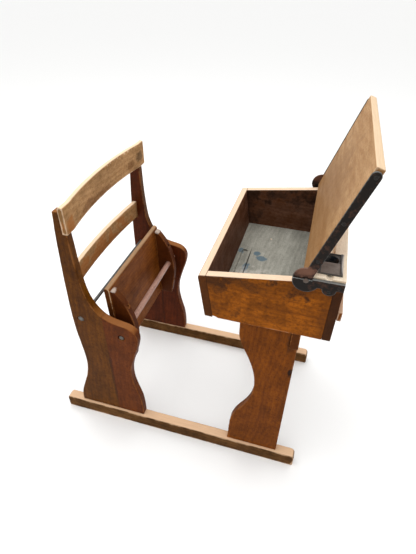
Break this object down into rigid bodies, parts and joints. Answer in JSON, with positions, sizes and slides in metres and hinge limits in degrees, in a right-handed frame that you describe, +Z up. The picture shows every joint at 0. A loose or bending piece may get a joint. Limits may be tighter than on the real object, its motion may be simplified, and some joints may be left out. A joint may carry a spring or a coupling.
{
  "type": "school desk with tip-up seat",
  "caption": "One-piece wooden school desk with a tip-up seat and backrest, a hinged sloping lid over a book box, a pen ledge and a covered inkwell, on floor runners.",
  "frame": {"origin": "middle of the footprint, on the floor", "axes": "+X the way the sitter faces, +Y towards the sitter's left, +Z up"},
  "size_m": [0.8201, 0.4986, 1.0091],
  "materials": {
    "runner_wood": "worn, oiled softwood",
    "standard_wood": "dark stained, varnished",
    "standard_front_wood": "reddish stained, varnished",
    "rail_wood": "varnish worn off by backs",
    "box_wood": "mottled brown stain, varnished",
    "box_floor_wood": "bare, grey, ink stained",
    "ledge_wood": "scrubbed pale",
    "seat_wood": "worn varnish",
    "sleeve_wood": "polished by use",
    "lid_wood": "worn underside",
    "hinge_iron": "black, rusting",
    "rod_iron": "dull, dark",
    "nut_iron": "dull grey",
    "screw_steel": "dull, worn bright",
    "inkwell_metal": "dull grey",
    "inkwell_porcelain": "glazed, ink stained"
  },
  "bodies": {
    "frame": {"floor_runner_right": "runner_wood", "floor_runner_left": "runner_wood", "seat_standard_post_right": "standard_wood", "seat_standard_post_left": "standard_wood", "seat_standard_front_right": "standard_front_wood", "seat_standard_front_left": "standard_front_wood", "back_rail_top": "rail_wood", "back_rail_low": "rail_wood", "seat_stop_rod": "rod_iron", "seat_stop_nuts": "nut_iron", "seat_pivot_bolt": "rod_iron", "seat_pivot_nuts": "nut_iron", "desk_standard_right": "standard_wood", "desk_standard_left": "standard_wood", "desk_cross_rail": "rail_wood", "box_front_board": "box_wood", "box_side_right": "box_wood", "box_side_left": "box_wood", "box_back_board": "box_wood", "box_bottom_board": "box_floor_wood", "box_ledge": "ledge_wood", "box_back_batten": "box_wood", "inkwell_pot": "inkwell_porcelain", "inkwell_plate": "inkwell_metal", "hinge_bracket_right": "hinge_iron", "hinge_bracket_left": "hinge_iron", "hinge_pins": "hinge_iron", "hinge_bracket_screws": "screw_steel"},
    "seat": {"seat_board": "seat_wood", "seat_cheek_right": "seat_wood", "seat_cheek_left": "seat_wood", "seat_pivot_sleeve": "sleeve_wood", "seat_cheek_screws": "screw_steel"},
    "lid": {"lid_board": "lid_wood", "lid_arm_right": "hinge_iron", "lid_arm_left": "hinge_iron", "lid_arm_screws": "screw_steel"},
    "cover": {"inkwell_cover": "inkwell_metal"}
  },
  "joints": [
    {"name": "seat_tip", "type": "hinge", "parent": "frame", "child": "seat", "pos_m": [-0.158, 0, 0.414], "axis": [0, 1, 0], "range_deg": [-40, 83.4]},
    {"name": "lid_hinge", "type": "hinge", "parent": "frame", "child": "lid", "pos_m": [0.317, 0, 0.752], "axis": [0, -1, 0], "range_deg": [0, 117]},
    {"name": "inkwell_cover_slide", "type": "slide", "parent": "frame", "child": "cover", "axis": [0, 1, 0], "range_m": [0, 0.0342]}
  ]
}
